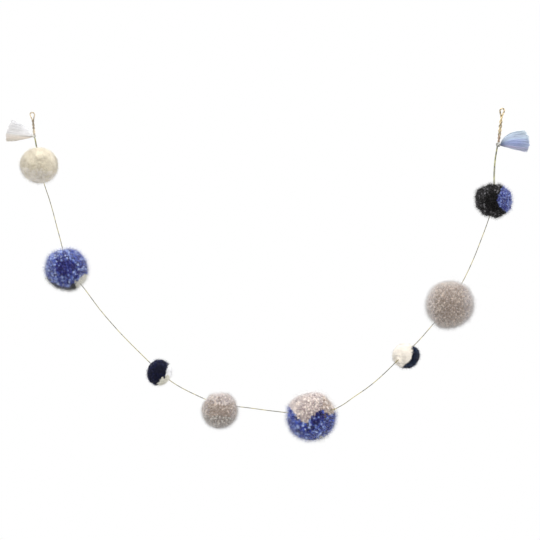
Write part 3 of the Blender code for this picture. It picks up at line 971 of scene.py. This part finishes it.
# bulges: the angle of each from +X towards +Z, and how far it stands out or sinks, in mm;
# a patch of another yarn: the side that it is on, front or through, the share of the ends that it takes
# and its outline as shares of the pom's half width and height, seen from the front
poms = [
    {"node": "pom_1_cream", "slot": "yarn_cream", "yarn": "cream", "seed": 11,
     "x": 12.3, "z": -91.9, "width": 69.0, "height": 68.5, "lumps": 3.1,
     "bulges": [(75, -1.2), (165, 1.5), (245, -2.2)],
     "pile": {"yarnWidth": 6.4 * mm, "yarnDepth": 2.5 * mm, "coreShare": 0.975, "coreBall": 0.85,
              "trim": 0.05 * mm, "shag": 0.2 * mm, "lean": 0.08, "fuzzWidth": 0.14 * mm, "sheen": 0.1,
              "softness": 0.35, "fibreShade": 0.2, "roundness": 3.0},
     "patches": [
         ("creamPale", "through", 0.75, [(-1.1, -0.05), (-0.6, -0.2), (0.6, -0.35), (1.1, -0.45),
          (1.1, -1.1), (-1.1, -1.1)]),
     ]},
    {"node": "pom_2_blue_mix", "slot": "yarn_blue_mix", "yarn": "blueMix", "seed": 12,
     "x": 60.0, "z": -274.0, "width": 79.0, "height": 78.5, "lumps": 7.4,
     "bulges": [(50, 1.2), (142, 1.5), (245, -2.2), (315, 1.5)],
     "pile": {"yarnSpacing": 2.6 * mm, "yarnWidth": 4.1 * mm, "tuftSize": 5.0 * mm, "sheen": 0.1,
              "inset": 0.915, "softness": 0.2, "roundness": 1.2},
     "patches": [
         # painted shade: darker ends over the front middle
         ("blueDeep", "front", 0.93, [(-0.38, 0.42), (0.0, 0.48), (0.38, 0.42), (0.55, 0.12),
          (0.34, -0.24), (-0.1, -0.28), (-0.45, 0.02)]),
         ("oat", "through", 1.0, [(0.95, -0.22), (0.75, -0.36), (0.60, -0.52), (0.44, -0.66),
          (0.45, -1.1), (1.2, -1.1), (1.2, -0.2)]),
         ("black", "through", 1.0, [(-1.1, -0.28), (-0.86, -0.34), (-0.70, -0.58), (-0.39, -0.79),
          (0.05, -0.86), (0.26, -0.80), (0.38, -0.64), (0.50, -0.70), (0.50, -1.2), (-1.1, -1.2)]),
         ("blueDeep", "through", 0.3, [(0.5, 0.4), (1.1, 0.4), (1.1, -0.2), (0.75, -0.3), (0.5, -0.1)]),
     ]},
    {"node": "pom_3_navy", "slot": "yarn_navy", "yarn": "navy", "seed": 13,
     "x": 222.8, "z": -454.0, "width": 45.5, "height": 47.0, "lumps": 11.9,
     "bulges": [(158, -1.0), (235, 1.6)],
     "pile": {"yarnWidth": 4.2 * mm, "coreShare": 0.94, "coreBall": 0.88, "sheen": 0.0, "softness": 0.1},
     "patches": [
         ("oat", "through", 1.0, [(0.80, 0.66), (0.69, 0.52), (0.59, 0.19), (0.60, -0.14),
          (0.56, -0.31), (0.42, -0.36), (0.34, -0.27), (0.15, -0.47), (-0.17, -0.94), (-0.17, -1.2),
          (1.2, -1.2), (1.2, 0.7)]),
         ("white", "through", 1.0, [(0.80, 0.66), (0.69, 0.52), (0.59, 0.19), (0.60, -0.14),
          (0.85, -0.34), (1.2, -0.4), (1.2, 0.7)]),
     ]},
    {"node": "pom_4_taupe", "slot": "yarn_taupe", "yarn": "taupe", "seed": 14,
     "x": 328.3, "z": -520.0, "width": 68.5, "height": 67.5, "lumps": 16.2,
     "bulges": [(95, -2.0), (200, -1.2), (245, 1.2)],
     "pile": {"yarnSpacing": 2.3 * mm, "yarnWidth": 3.5 * mm, "yarnDepth": 4.5 * mm, "coreShare": 0.95,
              "coreBall": 0.885, "sheen": 1.0, "tuftSize": 4.0 * mm, "softness": 0.4, "fibreShade": 0.3,
              "roundness": 2.0},
     "patches": [
         ("taupeFlecked", "through", 0.85, [(-1.1, -0.1), (-0.4, -0.3), (0.1, -0.22), (0.6, -0.35),
          (1.1, -0.5), (1.1, -1.1), (-1.1, -1.1)]),
         ("taupePale", "through", 0.7, [(-0.9, 0.55), (-0.4, 0.42), (0.3, 0.36), (0.9, 0.5), (0.9, 1.1),
          (-0.9, 1.1)]),
         # painted rim light: paler ends at the left and right edges
         ("taupePale", "through", 0.5, [(-1.1, 0.55), (-0.7, 0.5), (-0.58, 0.1), (-0.7, -0.4),
          (-1.1, -0.5)]),
         ("taupePale", "through", 0.4, [(1.1, 0.55), (0.7, 0.5), (0.58, 0.1), (0.7, -0.4), (1.1, -0.5)]),
     ]},
    {"node": "pom_5_taupe_blue", "slot": "yarn_taupe_blue", "yarn": "taupePale", "seed": 15,
     "x": 488.4, "z": -529.9, "width": 91.0, "height": 90.0, "lumps": 21.7,
     "bulges": [(42, -1.5), (64, 1.5), (105, -3.5), (150, 1.2), (240, 1.5), (300, 1.2)],
     "pile": {"yarnSpacing": 3.0 * mm, "yarnWidth": 4.7 * mm, "shag": 1.0 * mm, "tuftSize": 6.0 * mm,
              "sheen": 0.15, "softness": 0.15, "inset": 0.915},
     "patches": [
         # painted shade: darker taupe ends over the right part of the top
         ("taupe", "through", 0.7, [(0.48, 0.85), (0.45, 0.5), (0.36, 0.33), (0.53, 0.24), (0.72, 0.11),
          (1.2, 0.1), (1.2, 0.85)]),
         ("blueShade", "through", 1.0, [(-1.2, 0.50), (-0.92, 0.42), (-0.69, 0.15), (-0.58, -0.09),
          (-0.38, -0.21), (-0.22, -0.31), (-0.09, -0.05), (0.04, 0.07), (0.23, 0.22), (0.36, 0.33),
          (0.53, 0.24), (0.72, 0.11), (0.91, 0.13), (1.2, 0.15), (1.2, -1.2), (-1.2, -1.2)]),
         # painted shade: darker ends over the front middle
         ("blueDeep", "front", 0.92, [(-0.02, 0.02), (0.12, 0.16), (0.36, 0.31), (0.52, 0.20),
          (0.42, -0.1), (0.1, -0.3), (-0.12, -0.22)]),
         # painted shadow: a dark brown spot on the front where the blue meets the taupe
         ("brown", "front", 0.8, [(0.50, 0.22), (0.68, 0.14), (0.64, -0.02), (0.52, -0.01)]),
         ("oat", "through", 0.8, [(0.2, -0.95), (0.42, -0.83), (0.60, -0.75), (0.70, -0.9), (0.3, -1.2)]),
     ]},
    {"node": "pom_6_cream_navy", "slot": "yarn_cream_navy", "yarn": "creamWhite", "seed": 16,
     "x": 654.1, "z": -424.4, "width": 49.5, "height": 47.5, "lumps": 26.3,
     "bulges": [(15, 1.2), (75, -1.0), (200, 0.8)],
     "pile": {"yarnWidth": 5.2 * mm, "yarnDepth": 3.5 * mm, "coreShare": 0.97, "coreBall": 0.865,
              "trim": 0.1 * mm, "shag": 0.3 * mm, "lean": 0.1, "sheen": 0.05, "softness": 0.15,
              "fibreShade": 0.2, "roundness": 1.5},
     "patches": [
         ("inkNavy", "through", 1.0, [(0.55, 0.86), (0.41, 0.61), (0.50, 0.37), (0.45, 0.11),
          (0.34, -0.14), (0.25, -0.36), (-0.04, -0.56), (-0.28, -0.82), (-0.3, -1.2), (1.2, -1.2),
          (1.2, 0.9)]),
     ]},
    {"node": "pom_7_taupe", "slot": "yarn_taupe", "yarn": "taupe", "seed": 17,
     "x": 730.6, "z": -334.3, "width": 89.5, "height": 87.5, "lumps": 31.8,
     "bulges": [(45, 1.5), (90, -1.8), (155, -1.8), (245, 3.0)],
     "pile": {"yarnSpacing": 2.15 * mm, "yarnWidth": 3.3 * mm, "yarnDepth": 5.5 * mm, "coreShare": 0.95,
              "coreBall": 0.89, "sheen": 1.0, "tuftSize": 4.0 * mm, "softness": 0.4, "fibreShade": 0.35,
              "roundness": 1.8},
     "patches": [
         # painted rim light: paler ends at the left and right edges
         ("taupePale", "through", 0.45, [(-1.1, 0.9), (-0.62, 0.9), (-0.74, 0.3), (-0.74, -0.3),
          (-0.62, -0.7), (-1.1, -0.7)]),
         ("taupePale", "through", 0.6, [(1.1, 0.9), (0.50, 0.9), (0.56, 0.3), (0.56, -0.4),
          (0.50, -0.8), (1.1, -0.8)]),
     ]},
    {"node": "pom_8_black_blue", "slot": "yarn_black_blue", "yarn": "black", "seed": 18,
     "x": 806.4, "z": -152.8, "width": 67.0, "height": 63.5, "lumps": 36.6,
     "bulges": [(15, 1.5), (107, -2.5), (142, 1.2), (203, -1.8), (325, 2.2)],
     "pile": {"yarnWidth": 3.9 * mm, "shag": 2.3 * mm, "tuftSize": 8.0 * mm, "sheen": 0.03,
              "inset": 0.915},
     "patches": [
         # painted sheen: grey ends over the top left and the lower left of the black
         ("blackGrey", "through", 0.8, [(-1.1, -0.5), (-0.55, -0.42), (-0.45, 0.1), (-0.2, 0.4),
          (0.2, 0.45), (0.4, 0.5), (0.5, 1.1), (-1.1, 1.1)]),
         ("blackGrey", "through", 0.8, [(-1.1, -0.45), (-0.5, -0.45), (0.0, -0.62), (0.45, -0.55),
          (0.8, -1.1), (-1.1, -1.1)]),
         ("bluePlum", "through", 1.0, [(0.66, 1.2), (0.54, 0.83), (0.38, 0.50), (0.17, 0.23),
          (0.13, -0.04), (0.25, -0.34), (0.48, -0.58), (0.72, -0.69), (1.2, -0.8), (1.2, 1.2)]),
     ]},
]


yarnEnd = {
    "bends": [0.0, 0.16, 0.28, 0.1, 0.36],  # one shape of yarn end for each
    "rings": [(-1.0, 0.26), (-0.2, 0.50)],  # depth and radius
    "sides": 5,
    "uneven": 0.12,
    "tipWander": 0.08,
    "locks": 6,
    "lockRadius": 0.22,
    "lockDepth": 0.32,
    "lockWidth": 0.17,
    "lockLean": (0.25, 0.75),
    "lockTwist": 0.4,
    "lockRise": 0.2,
    "lockShares": (0.72, 1.15),  # where a lock starts and ends along the yarn end
}


def makeYarnEnd(name, bend, seed):
    # one cut end of yarn, a unit wide and a unit deep: a soft cone with frayed locks round its tip
    draw = np.random.default_rng(seed)
    sides, locks, uneven, wander = (yarnEnd[key] for key in ("sides", "locks", "uneven", "tipWander"))
    footShare, endShare = yarnEnd["lockShares"]
    shape = bmesh.new()
    along = shape.verts.layers.float.new("along")
    wrap = shape.loops.layers.uv.new("wrap")

    def addVertex(x, y, depth, share):
        vertex = shape.verts.new((x, y, depth))
        vertex[along] = share
        return vertex

    def addFace(vertices, across):
        face = shape.faces.new(vertices)
        face.smooth = True
        for loop, turn in zip(face.loops, across):
            loop[wrap].uv = (turn, min(max(loop.vert[along], 0), 1))

    rows = []
    for depth, radius in yarnEnd["rings"]:
        angles = [tau * side / sides for side in range(sides)]
        reach = radius * draw.uniform(1 - uneven, 1 + uneven, sides)
        shift = bend * (1 + depth) ** 2
        rows.append([addVertex(far * cos(angle) + shift, far * sin(angle), depth, 1 + depth)
                     for far, angle in zip(reach, angles)])
    tip = addVertex(bend + draw.uniform(-wander, wander), draw.uniform(-wander, wander), -0.02, 1.0)
    for side in range(sides):
        following = (side + 1) % sides
        addFace((rows[0][side], rows[0][following], rows[1][following], rows[1][side]),
                [place / sides for place in (side, side + 1, side + 1, side)])
        addFace((rows[1][side], rows[1][following], tip),
                [place / sides for place in (side, side + 1, side + 0.5)])
    addFace(rows[0][::-1], [0.5] * sides)
    for lock in range(locks):
        angle = tau * (lock + draw.uniform(-0.3, 0.3)) / locks
        lean = draw.uniform(*yarnEnd["lockLean"])
        out, turned = yarnEnd["lockRadius"], angle + yarnEnd["lockTwist"]
        foot = Vector((out * cos(angle) + bend * 0.5, out * sin(angle), -yarnEnd["lockDepth"]))
        point = (lean * cos(turned) + bend, lean * sin(turned), draw.uniform(0.0, yarnEnd["lockRise"]))
        base = []
        for corner in range(3):
            way = angle + tau * corner / 3
            spot = foot + Vector((cos(way), sin(way), 0)) * yarnEnd["lockWidth"]
            base.append(addVertex(*spot, footShare))
        end = addVertex(*point, endShare)
        addFace(base[::-1], [lock / locks] * 3)
        for corner in range(3):
            addFace((base[corner], base[(corner + 1) % 3], end), [(lock + corner / 3) / locks] * 3)
    return closeShape(shape, name)


def makeFibre(name):
    # one loose fibre, a unit wide at its root and a unit long
    mesh = bpy.data.meshes.new(name)
    points = [(0.5, 0, 0), (-0.25, 0.43, 0), (-0.25, -0.43, 0), (0.3, 0.2, 1)]
    mesh.from_pydata(points, [], [(0, 2, 1), (0, 1, 3), (1, 2, 3), (2, 0, 3)])
    writeValues(mesh, "along", "FLOAT", [1.0] * len(points))
    wrap = mesh.uv_layers.new(name="wrap")
    for polygon in mesh.polygons:
        for corner in polygon.loop_indices:
            vertex = mesh.loops[corner].vertex_index
            wrap.data[corner].uv = (vertex / 3, 1.0 if vertex == 3 else 0.0)
    mesh.shade_smooth()
    return mesh


def keepAside(name, meshes):
    # a collection of shapes for a tree to pick from, out of the scene
    shelf = bpy.data.collections.new(name)
    for mesh in meshes:
        shelf.objects.link(bpy.data.objects.new(mesh.name, mesh))
    return shelf


def randomValue(tree, low, high, seed):
    return addNode(tree, "FunctionNodeRandomValue", {"data_type": "FLOAT"},
                   {2: low, 3: high, "Seed": seed}, 1)


# inputs of the pile's tree that take a value of the pile as it is
pileInputs = {
    "Yarn Spacing": "yarnSpacing", "Yarn Width": "yarnWidth", "Yarn Depth": "yarnDepth", "Trim": "trim",
    "Shag": "shag", "Lean": "lean", "Tuft Size": "tuftSize", "Fuzz Spacing": "fuzzSpacing",
    "Fuzz Width": "fuzzWidth", "Fuzz Spread": "fuzzSpread", "Core Share": "coreShare",
}


def pileTree():
    # grows yarn ends and loose fibres on a form, round a core
    tree, given = newTree("cutPile", {
        "Geometry": "Geometry", "Centre": "Vector", "Yarn Ends": "Collection", "Fibres": "Collection",
        **{name: "Float" for name in pileInputs}, "Fuzz Length": "Float", "Core Radius": "Float",
        "Form Radius": "Float", "Seed": "Int", "Material": "Material",
    })
    place = addNode(tree, "GeometryNodeInputPosition")
    away = vectorMaths(tree, "SUBTRACT", place, given["Centre"])
    outward = vectorMaths(tree, "NORMALIZE", away)
    index = addNode(tree, "GeometryNodeInputIndex")

    def cloud(shift, output):
        # soft noise at the size of a tuft, another one for each shift
        spot = vectorMaths(tree, "ADD", place, (shift, shift * 2, shift * 3))
        return noiseAt(tree, spot, 1.0 / given["Tuft Size"], 1.0, output)

    def mark(geometry, chance, kind):
        # what the colours and the map read
        values = {"chance": chance, "drift": cloud(0.31, "Fac"), "cell": index, "kind": float(kind)}
        geometry = storePoints(tree, geometry, "outward", outward, "FLOAT_VECTOR")
        for name, value in values.items():
            geometry = storePoints(tree, geometry, name, value)
        return geometry

    def sow(spacing, kind, instances, width, depth, spread, trim, seed):
        def draw(low, high, number):
            return randomValue(tree, low, high, given["Seed"] + seed + number)

        points = addNode(tree, "GeometryNodeDistributePointsOnFaces", {"distribute_method": "POISSON"},
                         {"Mesh": given["Geometry"], "Distance Min": spacing,
                          "Density Max": 5.0 / (spacing * spacing), "Seed": given["Seed"] + seed})
        marked = mark(points, draw(0.0, 1.0, 1), kind)
        sway = vectorMaths(tree, "SUBTRACT", cloud(0.0, "Color"), (0.5, 0.5, 0.5))
        sway = vectorMaths(tree, "SCALE", sway, scale=given["Lean"] * pile["tuftLean"])
        stray = addNode(tree, "FunctionNodeRandomValue", {"data_type": "FLOAT_VECTOR"},
                        {0: (-1, -1, -1), 1: (1, 1, 1), "Seed": given["Seed"] + seed + 2}, 0)
        strewn = vectorMaths(tree, "SCALE", stray, scale=spread)
        heading = vectorMaths(tree, "ADD", vectorMaths(tree, "ADD", outward, sway), strewn)
        aligned = addNode(tree, "FunctionNodeAlignRotationToVector", {"axis": "Z"}, {"Vector": heading})
        spin = addNode(tree, "FunctionNodeAxisAngleToRotation", {},
                       {"Axis": (0, 0, 1), "Angle": draw(0.0, tau, 3)})
        turned = addNode(tree, "FunctionNodeRotateRotation", {"rotation_space": "LOCAL"},
                         {"Rotation": aligned, "Rotate By": spin})
        stand = draw(-1.0, 1.0, 4) * trim
        stand = stand + (cloud(0.17, "Fac") - 0.5) * 4.0 * given["Shag"]
        cut = vectorMaths(tree, "SCALE", outward, scale=stand)
        trimmed = addNode(tree, "GeometryNodeSetPosition", {}, {"Geometry": marked, "Offset": cut})
        girth = width * draw(1 - pile["uneven"], 1 + pile["uneven"], 5)
        reach = depth * draw(0.6, 1.0, 6)
        scale = addNode(tree, "ShaderNodeCombineXYZ", {}, {0: girth, 1: girth, 2: reach})
        shelf = addNode(tree, "GeometryNodeCollectionInfo", {},
                        {"Collection": instances, "Separate Children": True, "Reset Children": True})
        pick = addNode(tree, "FunctionNodeRandomValue", {"data_type": "INT"},
                       {4: 0, 5: 99, "Seed": given["Seed"] + seed + 7}, 2)
        return addNode(tree, "GeometryNodeInstanceOnPoints", {},
                       {"Points": trimmed, "Instance": shelf, "Pick Instance": True,
                        "Instance Index": pick, "Rotation": turned, "Scale": scale})

    ends = sow(given["Yarn Spacing"], 1, given["Yarn Ends"], given["Yarn Width"], given["Yarn Depth"],
               given["Lean"] * pile["endLean"], given["Trim"], 10)
    fuzz = sow(given["Fuzz Spacing"], 2, given["Fibres"], given["Fuzz Width"], given["Fuzz Length"],
               given["Fuzz Spread"], given["Trim"] * 1.5, 30)
    ball = addNode(tree, "GeometryNodeMeshIcoSphere", {}, {"Radius": 1.0 * mm, "Subdivisions": 4})
    ball = addNode(tree, "GeometryNodeTransform", {},
                   {"Geometry": ball, "Translation": given["Centre"], "Rotation": (0.31, 0.53, 0.77)})
    reach = addNode(tree, "GeometryNodeRaycast", {},
                    {"Target Geometry": given["Geometry"], "Source Position": given["Centre"],
                     "Ray Direction": outward, "Ray Length": given["Form Radius"]}, "Hit Distance")
    deep = reach.maths("MAXIMUM", reach * given["Core Share"], given["Core Radius"])
    under = vectorMaths(tree, "ADD", given["Centre"], vectorMaths(tree, "SCALE", outward, scale=deep))
    core = addNode(tree, "GeometryNodeSetPosition", {}, {"Geometry": ball, "Position": under})
    whole = addNode(tree, "GeometryNodeJoinGeometry", {}, {0: [mark(core, 0.5, 0), fuzz, ends]})
    endTree(tree, whole, given["Material"])
    return tree


def woolMaterial(name, looks):
    # matt wool with fine fibres and a soft bloom at grazing angles
    material, tree, shader = newMaterial(name)
    yarn = readAttribute(tree, "yarnColour", "Color")
    place = addNode(tree, "ShaderNodeTexCoord", {}, {}, "Object")
    fibre = noiseAt(tree, readAttribute(tree, "fibreWay", "Vector"), 1.0, 3.0)
    cloud = noiseAt(tree, place, looks["cloudScale"], 2.0)
    shade, dark = looks["fibreShade"], looks["cloudShade"]
    colour = vectorMaths(tree, "SCALE", yarn,
                         scale=(1 - shade / 2 + shade * fibre) * (1 - dark / 2 + dark * cloud))
    facing = roundOff(tree, bumpOf(tree, fibre, 0.5 * mm, shade * 0.9), looks["roundness"])
    plug(tree, shader, Base_Color=colour, Roughness=looks["roughness"] + 0.14 * fibre, Normal=facing)
    coat(shader, looks)
    return material


def cordWays(centre, reach):
    inside = [point for point in cordLine if (point - centre).length < reach]
    return [(inside[0] - centre).normalized(), (inside[-1] - centre).normalized()]


def pileReach(direction, row, looks, ways):
    # how far the pile reaches from a pom's centre in one direction, as in the frame
    half = Vector((row["width"], (row["width"] + row["height"]) / 2, row["height"])) * mm / 2
    reach = 1 / Vector((direction.x / half.x, direction.y / half.y, direction.z / half.z)).length
    spot = direction * pile["lumpScale"] + Vector((row["lumps"], row["lumps"], 0))
    reach += noise.noise(spot) * pile["lumpHeight"]
    for degrees, height in row["bulges"]:
        middle = Vector((cos(radians(degrees)), 0, sin(radians(degrees))))
        apart = direction.angle(middle) / radians(pile["bulgeSpread"])
        reach += height * mm * exp(-apart * apart)
    for way in ways:
        apart = direction.angle(way) * reach / pile["dimpleWidth"]
        reach -= pile["dimpleDepth"] * exp(-apart * apart)
    return reach * looks["inset"]


def partPile(direction, reach, traces, looks):
    # parts the pile where the cord runs close under it, so that the cord shows
    for trace in traces:
        depth = trace.length
        if depth < reach - looks["partingDepth"] or depth > reach + looks["partingDepth"]:
            continue
        apart = direction.angle(trace) * depth / looks["partingWidth"]
        reach = min(reach, depth + (apart * apart - 1) * mm)
    return reach


def pomForm(row, looks):
    # the outer form of the trimmed pile, as a closed ball
    centre = inPlane(row["x"], row["z"])
    ways = cordWays(centre, row["height"] * mm / 2)
    near = [point - centre for point in cordLine if (point - centre).length < row["width"] * mm * 0.7]
    shape = bmesh.new()
    bmesh.ops.create_icosphere(shape, subdivisions=5, radius=1)
    for vertex in shape.verts:
        direction = vertex.co.normalized()
        reach = partPile(direction, pileReach(direction, row, looks, ways), near, looks)
        vertex.co = centre + direction * reach
    mesh = closeShape(shape, row["node"] + "_form")
    mesh.shade_smooth()
    return mesh, centre


def inOutline(x, z, outline):
    # which points lie in a closed outline
    inside = np.zeros(len(x), bool)
    for (startX, startZ), (endX, endZ) in zip(outline, outline[1:] + outline[:1]):
        if startZ == endZ:
            continue
        crosses = (z >= min(startZ, endZ)) & (z < max(startZ, endZ))
        meets = startX + (z - startZ) * (endX - startX) / (endZ - startZ)
        inside ^= crosses & (x < meets)
    return inside


def dyeShare(yarn, chance, drift):
    # where each end falls along the dyed yarn, from 0 to 1, with like colours gathered
    mixed = chance + yarn["gather"] * drift
    return np.argsort(np.argsort(mixed)) / len(mixed)


def pickDye(yarn, share):
    stops = np.cumsum([part for part, _ in yarn["dyes"]])
    colours = np.array([screen(*colour)[:3] for _, colour in yarn["dyes"]])
    return colours[np.clip(np.searchsorted(stops, share), 0, len(stops) - 1)]


def colourPile(mesh, row):
    # gives every yarn end its colour, by the patch that it grows in
    outward = readPoints(mesh, "outward", 3)
    names = ("chance", "drift", "kind", "along")
    chance, drift, kind, along = (readPoints(mesh, name, 1) for name in names)
    second = (chance * 7919.0) % 1.0  # more draws from the same chance
    third = (chance * 104729.0) % 1.0
    x = outward[:, 0] + (second - 0.5) * pile["ragged"]
    z = outward[:, 2] + (third - 0.5) * pile["ragged"]
    zone = np.full(len(chance), row["yarn"], dtype=object)
    for yarn, side, share, outline in row["patches"]:
        there = inOutline(x, z, outline) & (second < share)
        if side == "front":
            there &= outward[:, 1] < 0
        zone[there] = yarn
    colours = np.zeros((len(chance), 3))
    for name in set(zone):
        yarn, here = yarns[name], zone == name
        # painted shade: darker towards each end's root, and the core between the ends darker still, where
        # shade falls deep in the pile
        shade = yarn["root"] + (1 - yarn["root"]) * np.clip(along[here], 0, 1.15) ** pile["paintedShadePower"]
        shade = shade * (1 + (third[here] - 0.5) * yarn["spread"])
        shade = np.where(kind[here] < 0.5, yarn["core"], shade)
        dyed = pickDye(yarn, dyeShare(yarn, chance[here], drift[here])) * shade[:, None]
        # painted rim light: the loose fibres are whitened towards a pale grey, so that the fuzz round the
        # outlines looks lit
        bleach = np.where(kind[here] > 1.5, yarn["bleach"], 0.0)[:, None]
        colours[here] = dyed * (1 - bleach) + pile["rimLightPainted"] * bleach
    paintPoints(mesh, colours)


pileMap = {
    "strips": ((1, 0.0, 0.72), (2, 0.73, 0.90)),  # of ends and of fibres: their kind, low and high
    "coreLow": 0.91,
    "cellInset": 0.12,
    "fibreRun": 0.6,  # how fast the fibre noise changes up an end
    "cellStep": 3.7,  # how far apart the ends are in it
    "coreRun": 90,
}


def mapPile(mesh):
    # a map with a small cell for each yarn end, one strip for the fibres and one for the core
    corners = cornerPoints(mesh)
    kind, cell = (readPoints(mesh, name, 1)[corners] for name in ("kind", "cell"))
    outward = readPoints(mesh, "outward", 3)[corners]
    wrap = np.zeros(len(corners) * 2, np.float32)
    mesh.uv_layers["wrap"].data.foreach_get("uv", wrap)
    wrap = np.clip(wrap.reshape(-1, 2), 0, 1)
    spots = np.zeros((len(corners), 2))
    for wanted, low, high in pileMap["strips"]:
        chosen = np.abs(kind - wanted) < 0.5
        if not chosen.any():
            continue
        count = int(cell[chosen].max()) + 1
        columns = ceil((count / (high - low)) ** 0.5)
        rows = ceil(count / columns)
        inset = pileMap["cellInset"] + (1 - 2 * pileMap["cellInset"]) * wrap[chosen]
        spots[chosen, 0] = (cell[chosen] % columns + inset[:, 0]) / columns
        spots[chosen, 1] = low + (high - low) * (cell[chosen] // columns + inset[:, 1]) / rows
    core = kind < 0.5
    spots[core, 0] = np.arctan2(outward[core, 1], outward[core, 0]) / tau + 0.5
    rise = np.arcsin(np.clip(outward[core, 2], -1, 1)) / pi + 0.5
    spots[core, 1] = pileMap["coreLow"] + (1 - pileMap["coreLow"]) * rise
    mapCorners(mesh, spots)
    mesh.uv_layers.remove(mesh.uv_layers["wrap"])
    # where each corner is among the fibres, which run up an end and spread from its tip
    angle = tau * wrap[:, 0]
    run = cell * pileMap["cellStep"] + pileMap["fibreRun"] * wrap[:, 1]
    ways = np.column_stack([np.cos(angle), np.sin(angle), run]) * pile["fibresRound"]
    ways[core] = outward[core] * pileMap["coreRun"]
    writeValues(mesh, "fibreWay", "FLOAT_VECTOR", ways, "CORNER")


yarnEnds = keepAside("yarnEnds", [
    makeYarnEnd(f"yarnEnd{number}", bend, number) for number, bend in enumerate(yarnEnd["bends"])
])
fibres = keepAside("fibres", [makeFibre("fibre")])
cutPile = pileTree()
for row in poms:
    looks = {**pile, **row["pile"]}
    form, centre = pomForm(row, looks)
    pomMesh = grow(row["node"] + "_pile", form, cutPile, {
        "Centre": centre, "Yarn Ends": yarnEnds, "Fibres": fibres,
        **{name: looks[value] for name, value in pileInputs.items()},
        "Fuzz Length": looks["fuzzLength"] * row["width"] * mm,
        "Core Radius": looks["coreBall"] * row["height"] * mm / 2,
        "Form Radius": row["height"] * mm / 2, "Seed": row["seed"] * 100,
        "Material": woolMaterial(row["node"] + "_wool", looks),
    })
    colourPile(pomMesh, row)
    mapPile(pomMesh)
    addPiece(row["node"] + "_pile", pomMesh, row["slot"], row["node"])
    print(f"stage: {row['node']}, {countTriangles(pomMesh)} triangles")
